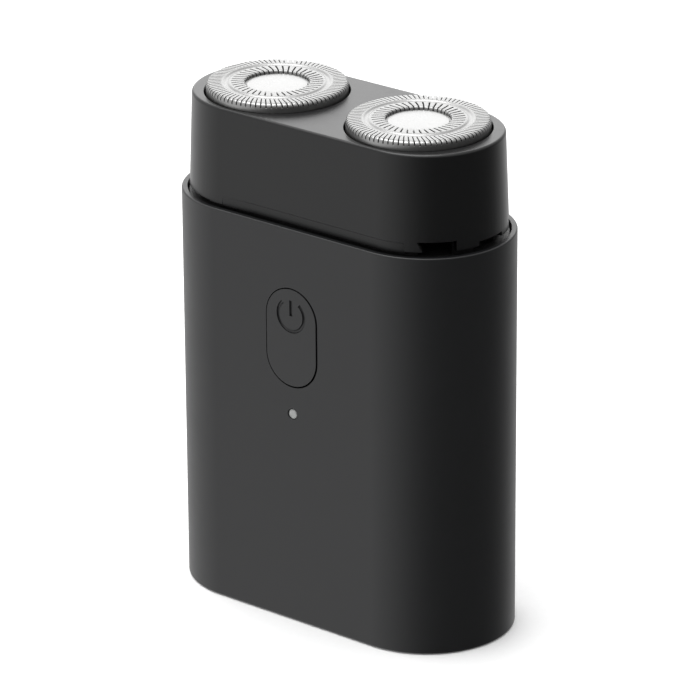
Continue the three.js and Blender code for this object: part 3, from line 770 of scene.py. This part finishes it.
def guard_top_profile():
    """(radius, height below the top) from the recess, over both tracks and down the skirt."""
    return [
        (3.0, -0.6), (4.2, -0.6), (4.95, -0.59), (5.05, -0.54), (5.08, -0.3), (5.14, -0.1), (5.3, -0.02),
        (5.5, 0), (5.9, 0), (6.4, 0), (6.9, 0), (7.3, 0), (7.5, -0.02), (7.66, -0.08), (7.8, -0.16),
        (7.94, -0.23), (8.1, -0.26), (8.26, -0.23), (8.4, -0.16), (8.54, -0.08), (8.68, -0.02),
        (8.9, 0), (9.6, 0), (10.4, 0), (10.8, -0.03), (11.05, -0.13), (11.22, -0.3), (11.29, -0.52),
        (11.3, -0.75), (11.3, -1.2), (11.3, -2.5), (11.3, -4.2), (11.3, -5.55),
    ]


def guard_sector():
    """One forty-second of a guard: two outer slots and one inner slot through a thin sheet."""
    profile = guard_top_profile()
    thickness = 0.2
    pitch = 2 * math.pi / GUARD_SECTORS
    under = []
    for i, (r, z) in enumerate(profile):
        before = Vector(profile[max(i - 1, 0)])
        after = Vector(profile[min(i + 1, len(profile) - 1)])
        along = (after - before).normalized()
        under.append((r + along.y * thickness, z - along.x * thickness))
    swirl = math.tan(math.radians(12))
    columns = (0, 1.35, 2, 2.65, 4.4, 5.3, 6.35, 7, 7.65, 9.2, 10)

    def slot_cell(row, cell):
        r0, z0 = profile[row]
        r1, z1 = profile[row + 1]
        outer = r0 >= 8.85 and z1 >= -0.76 and cell % 5 in (1, 2)
        inner = r0 >= 5.04 and r1 <= 7.31 and z0 >= -0.55 and cell in (4, 5, 6)
        return outer or inner

    bm = bmesh.new()

    def layer(points):
        rows = []
        for r, z in points:
            row = []
            for column in columns:
                angle = column * pitch / CELLS + swirl * math.log(max(r, 5.0) / 8.5)
                row.append(bm.verts.new(Vector((r * math.cos(angle), r * math.sin(angle), z)) * MM))
            rows.append(row)
        return rows

    top = layer(profile)
    low = layer(under)
    last = len(profile) - 1
    for row in range(last):
        for cell in range(CELLS):
            upper = (top[row][cell], top[row + 1][cell], top[row + 1][cell + 1], top[row][cell + 1])
            lower = (low[row][cell], low[row + 1][cell], low[row + 1][cell + 1], low[row][cell + 1])
            if not slot_cell(row, cell):
                bm.faces.new(upper)
                bm.faces.new(lower[::-1])
                continue
            open_beside = (
                slot_cell(row, cell - 1),
                row + 1 < last and slot_cell(row + 1, cell),
                slot_cell(row, (cell + 1) % CELLS),
                slot_cell(row - 1, cell),
            )
            for i in range(4):
                j = (i + 1) % 4
                if not open_beside[i]:
                    bm.faces.new((upper[i], upper[j], lower[j], lower[i]))
    for cell in range(CELLS):
        bm.faces.new((top[0][cell], top[0][cell + 1], low[0][cell + 1], low[0][cell]))
        bm.faces.new((top[last][cell + 1], top[last][cell], low[last][cell], low[last][cell + 1]))
    lip_drop = 0.035  # how far the top edges beside a slot sink
    lips = set()
    for row in range(last):
        for column in range(CELLS + 1):
            if slot_cell(row, (column - 1) % CELLS) != slot_cell(row, column % CELLS):
                lips.update((top[row][column], top[row + 1][column]))
    for vertex in lips:
        vertex.co.z -= lip_drop * MM
    unused = [vertex for vertex in bm.verts if not vertex.link_faces]
    bmesh.ops.delete(bm, geom=unused, context="VERTS")
    mesh = bpy.data.meshes.new("guard_sector")
    bm.to_mesh(mesh)
    bm.free()
    made = bpy.data.objects.new("guard_sector", mesh)
    bpy.context.scene.collection.objects.link(made)
    return made


def build_ring_of_copies():
    """Geometry Nodes tree: repeats one object evenly round an upright axis and welds the copies."""
    geometry = "NodeSocketGeometry"
    inputs = [
        ("Geometry", geometry, None),
        ("One Copy", "NodeSocketObject", None),
        ("Count", "NodeSocketInt", 12),
        ("Centre", VECTOR, None),
        ("First Angle", FLOAT, 0.0),
        ("Weld Distance", FLOAT, 1e-6),
        ("Finish", "NodeSocketMaterial", None),
    ]
    group, given, made = new_group("ring_of_copies", "GeometryNodeTree", inputs, [("Geometry", geometry)])
    asked = given.outputs
    copy = add_node(group, "GeometryNodeObjectInfo", {"Object": asked["One Copy"]})
    points = add_node(group, "GeometryNodePoints", {"Count": asked["Count"]})
    index = add_node(group, "GeometryNodeInputIndex").outputs[0]
    step = calculate(group, "DIVIDE", 2 * math.pi, asked["Count"])
    turn = calculate(group, "MULTIPLY_ADD", index, step, asked["First Angle"])
    euler = add_node(group, "ShaderNodeCombineXYZ", {"Z": turn})
    rotation = add_node(group, "FunctionNodeEulerToRotation", {"Euler": euler.outputs[0]}).outputs[0]
    values = {"Points": points.outputs[0], "Instance": copy.outputs["Geometry"], "Rotation": rotation}
    shape = add_node(group, "GeometryNodeInstanceOnPoints", values).outputs[0]
    for kind, values in (
        ("GeometryNodeRealizeInstances", {}),
        ("GeometryNodeMergeByDistance", {"Distance": asked["Weld Distance"]}),
        ("GeometryNodeTransform", {"Translation": asked["Centre"]}),
        ("GeometryNodeSetMaterial", {"Material": asked["Finish"]}),
    ):
        shape = add_node(group, kind, {"Geometry": shape, **values}).outputs[0]
    put_out(group, made, Geometry=shape)
    return group


ring_of_copies = build_ring_of_copies()


def repeat_round(name, one_copy, count, centre, material, first_angle=0.0):
    """A plain mesh of count copies of an object, about an upright axis through centre in mm."""
    made = bpy.data.objects.new(name, bpy.data.meshes.new(name))
    bpy.context.scene.collection.objects.link(made)
    modifier = made.modifiers.new("ring_of_copies", "NODES")
    modifier.node_group = ring_of_copies
    values = {
        "One Copy": one_copy,
        "Count": count,
        "Centre": Vector(centre) * MM,
        "First Angle": first_angle,
        "Finish": material,
    }
    for item in ring_of_copies.interface.items_tree:
        if item.in_out == "INPUT" and item.name in values:
            modifier[item.identifier] = values[item.name]
    return make_plain(made)


def make_guards():
    sector = guard_sector()
    for word, side in SIDES:
        x = side * SPINDLE_X
        steel = worked_metal(f"guard_steel_{word}", (0.34, 0.34, 0.337), 0.36, x=x, depth=0.0006, change=0.08)
        guard = repeat_round("guard_fine_" + word, sector, GUARD_SECTORS, (x, 0, GUARD_TOP), steel)
        tab = loft(
            "tab",
            rounded_block(0.65, 1.5, 0.2, 11.55, 0),
            rounded([(0, 80.9 - GUARD_TOP), (0, HEAD_PLATE_Z - 0.1 - GUARD_TOP)]),
        )
        tabs = repeat_round("tabs", tab, 4, (x, 0, GUARD_TOP), steel, math.pi / 4)
        bpy.data.objects.remove(tab)
        weld(guard, tabs)
        finish_piece(guard, steel, "guard_" + word, "guard_steel", "guard_" + word, crease=50)
        bright = worked_metal(f"cap_steel_{word}", (0.365, 0.365, 0.363), 0.3, x=x, depth=0.0004, change=0.08)
        corners = [
            (0.5, -0.61),
            (4.85, -0.61, 0.05),
            (4.85, -0.44, 0.08),
            (4.3, -0.4),
            (2.4, -0.36),
            (0.5, -0.35),
        ]
        profile = [(r, GUARD_TOP + z) for r, z in rounded(corners)]
        cap = loft("guard_cap_fine_" + word, circle_at(x, steps=96), profile)
        finish_piece(cap, bright, "guard_" + word, "cap_steel", "guard_cap_" + word)
    bpy.data.objects.remove(sector)


def weld(piece, *others):
    """Joins separate bodies into one mesh, without cutting them."""
    bm = bmesh.new()
    bm.from_mesh(piece.data)
    for other in others:
        bm.from_mesh(other.data)
        bpy.data.objects.remove(other)
    bm.to_mesh(piece.data)
    bm.free()
    return piece


# ---- the cutters


def make_cutters():
    ring_z = 79.2
    ring_top = ring_z + 0.6
    for word, side in SIDES:
        x = side * SPINDLE_X
        steel = worked_metal(f"blade_steel_{word}", (0.55, 0.55, 0.54), 0.3, x=x)
        ring = rounded(
            [(3, ring_z, 0.08), (10.3, ring_z, 0.15), (10.3, ring_top, 0.15), (3, ring_top, 0.08)],
            loop=True,
        )
        cutter = loft("cutter_fine_" + word, circle_at(x, steps=72), ring, loop=True)
        for count, inner, outer, tip in ((15, 9.0, 10.1, GUARD_TOP - 0.55), (9, 5.5, 7.3, GUARD_TOP - 1.25)):
            blade = leaning_blade(inner, outer, ring_z + 0.3, tip)
            blades = repeat_round("blades", blade, count, (x, 0, 0), steel)
            bpy.data.objects.remove(blade)
            joined_to(cutter, blades)
        finish_piece(cutter, steel, "cutter_" + word, "blade_steel", "cutter_" + word)
        make_cutter_hub(word, x)


def leaning_blade(inner, outer, z0, z1):
    """An upright blade that leans into its cut and narrows to a ground tip."""
    bm = bmesh.new()
    rings = []
    levels = ((0, 0.25, 0), (0.35, 0.22, 0), (0.8, 0.16, 0.02), (0.94, 0.13, 0.05), (1, 0.07, 0.06))
    for share, half, lean in levels:
        z = z0 + (z1 - z0) * share
        inset = 0.0 if share < 0.9 else 0.06
        near = inner + inset
        far = outer - inset
        front = lean - half
        rear = lean + half
        rings.append([(near, front, z), (far, front, z), (far, rear, z), (near, rear, z)])
    add_rings(bm, rings)
    return object_from(bm, "blade")


def make_cutter_hub(word, x):
    profile = rounded(
        [(1, 74.6), (3.7, 74.6, 0.3), (3.7, 79.15, 0.2), (2.85, 79.15), (2.85, 80.2, 0.25), (1, 80.2)],
    )
    hub = loft("cutter_hub_fine_" + word, circle_at(x, steps=48), profile)
    socket = loft("socket", rounded_block(1.95, 1.95, 0.3, x), [(0.25, 74.4), (0, 74.9), (0, 78.7)])
    cut_from(hub, socket)
    finish_piece(hub, gear_plastic, "cutter_" + word, "gear_plastic", "cutter_hub_" + word)


def make_spindles():
    for word, side in SIDES:
        x = side * SPINDLE_X
        umbrella = rounded(
            [
                (0.4, 68.6),
                (1.95, 68.6, 0.1),
                (1.95, 72.4, 0.25),
                (4.4, 72.4, 0.08),
                (4.4, 72.62, 0.08),
                (2.45, 73.7, 0.5),
                (0.4, 73.7),
            ],
        )
        spindle = loft("spindle_fine_" + word, circle_at(x, steps=56), umbrella)
        tip = [(0, 73.4), (0, 77.6), (-0.1, 77.95), (-0.35, 78.2)]
        foot = [(2.35, 66.05), (2.45, 66.2), (2.45, 68.6), (2.35, 68.7)]
        joined_to(
            spindle,
            loft("tip", rounded_block(1.75, 1.75, 0.35, x), tip),
            loft("foot", circle_at(x, steps=6, turn=math.pi / 6), foot),
        )
        bore = [(0.95, 60), (0.95, 71.9), (0.7, 72.1)]
        cut_from(spindle, loft("bore", circle_at(x, steps=32), bore))
        finish_piece(spindle, gear_plastic, "shaft_" + word, "gear_plastic", "spindle_" + word)
        top = 70.4
        lips = rounded(
            [
                (2.12, top + 0.05),
                (4.3, top + 0.05, 0.1),
                (4.3, top + 0.5, 0.2),
                (3.5, top + 0.5, 0.1),
                (3.2, top + 0.62, 0.1),
                (2.75, top + 0.55, 0.1),
                (2.6, top + 0.8, 0.12),
                (2.12, top + 0.8, 0.06),
            ],
            loop=True,
        )
        seal = loft("spindle_seal_fine_" + word, circle_at(x, steps=64), lips, loop=True)
        finish_piece(seal, seal_rubber, "case", "seal_rubber", "spindle_seal_" + word)


def make_spindle_springs():
    """Coils with closed end turns. Each stands in its gear."""
    wire = 0.18
    turns = 4.5
    steps = 160
    for word, side in SIDES:
        x = side * SPINDLE_X
        low, high = box_mm("spindle_spring_" + word)
        coil = high.y - wire
        bm = bmesh.new()
        rings = []
        for i in range(steps + 1):
            share = i / steps
            climb = share - 0.8 * math.sin(2 * math.pi * share) / (2 * math.pi)
            z = low.z + wire + (high.z - low.z - 2 * wire) * climb
            angle = 2 * math.pi * turns * share
            ring = []
            for k in range(10):
                around = 2 * math.pi * k / 10
                radius = coil + wire * math.cos(around)
                height = z + wire * math.sin(around)
                ring.append((x + radius * math.cos(angle), radius * math.sin(angle), height))
            rings.append(ring)
        add_rings(bm, rings)
        spring = object_from(bm, "spindle_spring_fine_" + word)
        spring.data.materials.append(plain_steel)
        spring.data.shade_smooth()
        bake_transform(spring)
        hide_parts("spindle_spring_" + word)


# ---- the deck and the blade frame

MAGNET_Y = 7.2
GEARBOX_SCREW_Y = 9.6


def make_gearbox_cover():
    flange_z = LEDGE_Z + 0.6
    spigot_z = LEDGE_Z - 0.3
    deck_top = 66.6
    tower_top = 70.4
    plate = rounded(
        [
            (10, spigot_z),
            (CAVITY_HALF - 0.3, spigot_z, 0.1),
            (CAVITY_HALF - 0.3, flange_z),
            (RIM_HALF - 0.2, flange_z),
            (RIM_HALF - 0.2, deck_top, 0.2),
            (10, deck_top),
        ],
    )
    deck = loft("gearbox_cover_fine", stadium, plate)
    outer = HEAD_CAVITY_HALF - 0.2
    inner = outer - 1.15
    foot = deck_top - 0.3
    collar = rounded([(inner, foot), (outer, foot), (outer, 70, 0.35), (inner, 70, 0.3)], loop=True)
    parts = [loft("collar", stadium, collar, loop=True)]
    root = spigot_z + 0.2
    tower = [
        (2.5, root),
        (5.4, root),
        (5.4, deck_top - 0.1),
        (4.6, deck_top + 0.7, 0.8),
        (4.6, tower_top, 0.3),
        (2.5, tower_top),
    ]
    for _, side in SIDES:
        parts.append(loft("tower", circle_at(side * SPINDLE_X, steps=72), rounded(tower)))
    pocket = rounded([(1.5, root), (2.7, root), (2.7, 69, 0.25), (1.5, 69)])
    for _, side in ENDS:
        parts.append(loft("pocket", circle_at(0, side * MAGNET_Y, steps=48), pocket))
        screw_post = circle_at(0, side * GEARBOX_SCREW_Y, steps=32)
        parts.append(loft("screw_post", screw_post, [(2, 59.25), (2, flange_z)]))
    joined_to(deck, *parts)
    cuts = []
    seal_seat = tower_top - 1.0
    bore = [(3.85, spigot_z - 1), (3.85, seal_seat), (2.2, seal_seat), (2.2, tower_top + 1)]
    for _, side in SIDES:
        cuts.append(loft("tower_bore", circle_at(side * SPINDLE_X, steps=56), bore))
    magnet_bore = [(2.1, deck_top + 0.3), (2.1, 68.9), (2.25, 69.1)]
    for _, side in ENDS:
        cuts.append(loft("magnet_bore", circle_at(0, side * MAGNET_Y, steps=48), magnet_bore))
        pilot = circle_at(0, side * GEARBOX_SCREW_Y, steps=24)
        cuts.append(loft("pilot", pilot, [(0.85, 58), (0.85, 64)]))
    for start, end in DRAINS:
        cuts.append(end_cutter(1, flat(deck_top + 0.05), flat(71), start, end, 10.05))
    cut_from(deck, *cuts)
    finish_piece(deck, inner_black, "case", "inner_black", "gearbox_cover")


def spoke_window(x, start, end, inner, outer, half_spoke):
    """The plan outline of an opening between two spokes, in degrees."""
    out = math.degrees(math.asin(half_spoke / outer))
    into = math.degrees(math.asin(half_spoke / inner))
    edge = arc_points(x, 0, outer, start + out, end - out, 22)
    return edge + arc_points(x, 0, inner, end - into, start + into, 16)


def make_blade_frame():
    frame_z = 76.4
    plate_top = frame_z + 1.4
    outer = HEAD_CAVITY_HALF - 0.25
    plate = [(9, frame_z), (outer, frame_z, 0.3), (outer, plate_top, 0.3), (9, plate_top)]
    holder = loft("blade_frame_fine", stadium, rounded(plate))
    posts = []
    root = frame_z + 0.6
    post = rounded([(1.5, 69.3), (2.7, 69.3, 0.2), (2.7, root), (1.5, root)])
    for _, side in ENDS:
        posts.append(loft("magnet_post", circle_at(0, side * MAGNET_Y, steps=48), post))
    joined_to(holder, *posts)
    cuts = [loft("knob_hole", circle_at(steps=40), [(1.4, 75), (1.4, 79)])]
    seat = [(2.2, 69.1), (2.1, 69.4), (2.1, 71.5)]
    for _, side in ENDS:
        cuts.append(loft("magnet_seat", circle_at(0, side * MAGNET_Y, steps=48), seat))
    for _, side in SIDES:
        x = side * SPINDLE_X
        cuts.append(loft("hub_hole", circle_at(x, steps=56), [(5.3, 75), (5.3, 79)]))
        for start in (90, 210, 330):
            cuts.append(prism("window", spoke_window(x, start, start + 120, 6.4, 10, 0.8), 75, 79))
    cut_from(holder, *cuts)
    finish_piece(holder, inner_black, "head", "inner_black", "blade_frame")


def make_frame_knob():
    profile = rounded(
        [(1, 73.9), (3.1, 74.2, 0.3), (3.1, 76.3, 0.3), (1.15, 76.3, 0.1), (1.15, 80.4, 0.2), (0.4, 80.4)],
    )
    knob = loft("frame_knob_fine", circle_at(steps=56), profile)
    grip = rounded([(-0.25, 72.8), (0, 73.05, 0.1), (0, 74.6)])
    joined_to(knob, loft("grip", rounded_block(2.6, 0.7, 0.45), grip))
    finish_piece(knob, inner_black, "knob", "inner_black", "frame_knob")


def make_magnets():
    for word, side in ENDS:
        for name, body, z in (("body", "case", 66.95), ("head", "head", 69.35)):
            disc = rounded([(0.4, z), (2, z, 0.15), (2, z + 2, 0.15), (0.4, z + 2)])
            magnet = loft(f"{name}_magnet_fine_{word}", circle_at(0, side * MAGNET_Y, steps=48), disc)
            finish_piece(magnet, magnet_nickel, body, "magnet_nickel", f"{name}_magnet_{word}")


make_body_shell()
make_power_button()
make_light_guide()
make_base_cover()
make_cover_screws()
make_usb_port()
make_head_cap()
make_guards()
make_cutters()
make_spindles()
make_spindle_springs()
make_gearbox_cover()
make_blade_frame()
make_frame_knob()
make_magnets()

# ---- finishes on the CAD pieces that stay


def coat_cad_pieces():
    """Gives each remaining CAD piece the finish that has its slot's name."""
    made_here = (
        inner_black,
        seal_rubber,
        gear_plastic,
        plain_steel,
        motor_steel,
        winding_copper,
        magnet_ferrite,
        magnet_nickel,
        board_green,
        led_lens,
        cell_wrap,
        nickel_strip,
        lead_red,
        lead_black,
        shell_black,
        head_black,
    )
    finishes = {finish.name.split(".")[0]: finish for finish in made_here}
    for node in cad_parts.values():
        for slot in node.material_slots:
            slot.material = finishes.get(slot.material.name, slot.material)


coat_cad_pieces()

# ---- floor, light and camera


def make_floor():
    bm = bmesh.new()
    spread = (BODY_HALF - 0.6, 40, 120, 400, 1200, 4000)
    add_rings(bm, [stadium(half, -0.01) for half in spread], capped=False)
    floor = object_from(bm, "floor")
    material, tree, surface, place = start_material("pale_floor")
    tone = rescale(tree, noise(tree, place, 900.0, 3.0), 0.0, 1.0, 0.93, 0.97)
    tree.links.new(shaded(tree, (1.0, 1.0, 1.0), tone), surface.inputs["Base Color"])
    surface.inputs["Roughness"].default_value = 0.9
    surface.inputs["Specular IOR Level"].default_value = 0.1
    floor.data.materials.append(material)
    floor.visible_glossy = False


def make_world():
    """White all round for the camera. The light on the object is bright from above and from the left,
    and falls off low down on the right."""
    world = bpy.data.worlds.new("white_studio")
    world.use_nodes = True
    bpy.context.scene.world = world
    tree = world.node_tree
    tree.nodes.clear()
    direction = add_node(tree, "ShaderNodeTexCoord").outputs["Generated"]
    left = {0: direction, 1: (-1.0, 0.0, 0.0)}
    to_left = add_node(tree, "ShaderNodeVectorMath", left, operation="DOT_PRODUCT").outputs["Value"]
    height = add_node(tree, "ShaderNodeSeparateXYZ", {0: direction}).outputs["Z"]
    level = rescale(tree, to_left, -0.75, 0.5, 0.12, 1.0, "SMOOTHSTEP")
    above = rescale(tree, height, 0.12, 0.8, interpolation="SMOOTHSTEP")
    below = rescale(tree, height, -0.97, -0.5, 2.4, 1.0, "SMOOTHSTEP")
    strength = add_node(tree, "ShaderNodeMix", {"Factor": above, "A": level, "B": 1.0}).outputs[0]
    lifted = calculate(tree, "MULTIPLY", strength, below)
    white = (1.0, 1.0, 1.0, 1.0)
    soft = add_node(tree, "ShaderNodeBackground", {"Color": white, "Strength": lifted})
    plain = add_node(tree, "ShaderNodeBackground", {"Color": white, "Strength": 1.0})
    ray = add_node(tree, "ShaderNodeLightPath").outputs["Is Camera Ray"]
    seen = add_node(tree, "ShaderNodeMixShader", {0: ray, 1: soft.outputs[0], 2: plain.outputs[0]})
    output = add_node(tree, "ShaderNodeOutputWorld")
    tree.links.new(seen.outputs[0], output.inputs["Surface"])


def add_softbox(name, place, size, power):
    target = Vector((0.0, 0.0, 0.04))  # the middle of the case
    light = bpy.data.lights.new(name, "AREA")
    light.shape = "DISK"
    light.size = size
    light.energy = power
    lamp = bpy.data.objects.new(name, light)
    bpy.context.scene.collection.objects.link(lamp)
    lamp.location = place
    lamp.visible_camera = False
    lamp.rotation_euler = (target - Vector(place)).to_track_quat("-Z", "Y").to_euler()


def make_camera():
    around = math.radians(39.04)
    above = math.radians(22.09)
    roll = math.radians(-0.36)
    distance = 0.79115
    back = Vector((math.sin(around) * math.cos(above), -math.cos(around) * math.cos(above), math.sin(above)))
    right = Vector((math.cos(around), math.sin(around), 0))
    up = back.cross(right)
    rolled_right = right * math.cos(roll) + up * math.sin(roll)
    rolled_up = up * math.cos(roll) - right * math.sin(roll)
    lens = bpy.data.cameras.new("camera")
    lens.sensor_width = 36
    lens.lens = 255.0
    camera = bpy.data.objects.new("camera", lens)
    bpy.context.scene.collection.objects.link(camera)
    target = right * (0.21 * MM) + Vector((0, 0, 42.42 * MM))
    turn = camera.matrix_world.copy()
    for row in range(3):
        turn[row][0] = rolled_right[row]
        turn[row][1] = rolled_up[row]
        turn[row][2] = back[row]
        turn[row][3] = (target + back * distance)[row]
    camera.matrix_world = turn
    bpy.context.scene.camera = camera


make_floor()
make_world()
add_softbox("overhead", (-0.25, -0.15, 1.3), 1.2, 14.0)
add_softbox("behind_left", (-0.7, 0.86, 0.5), 1.0, 3.4)
make_camera()
bpy.context.scene.view_settings.view_transform = "Standard"
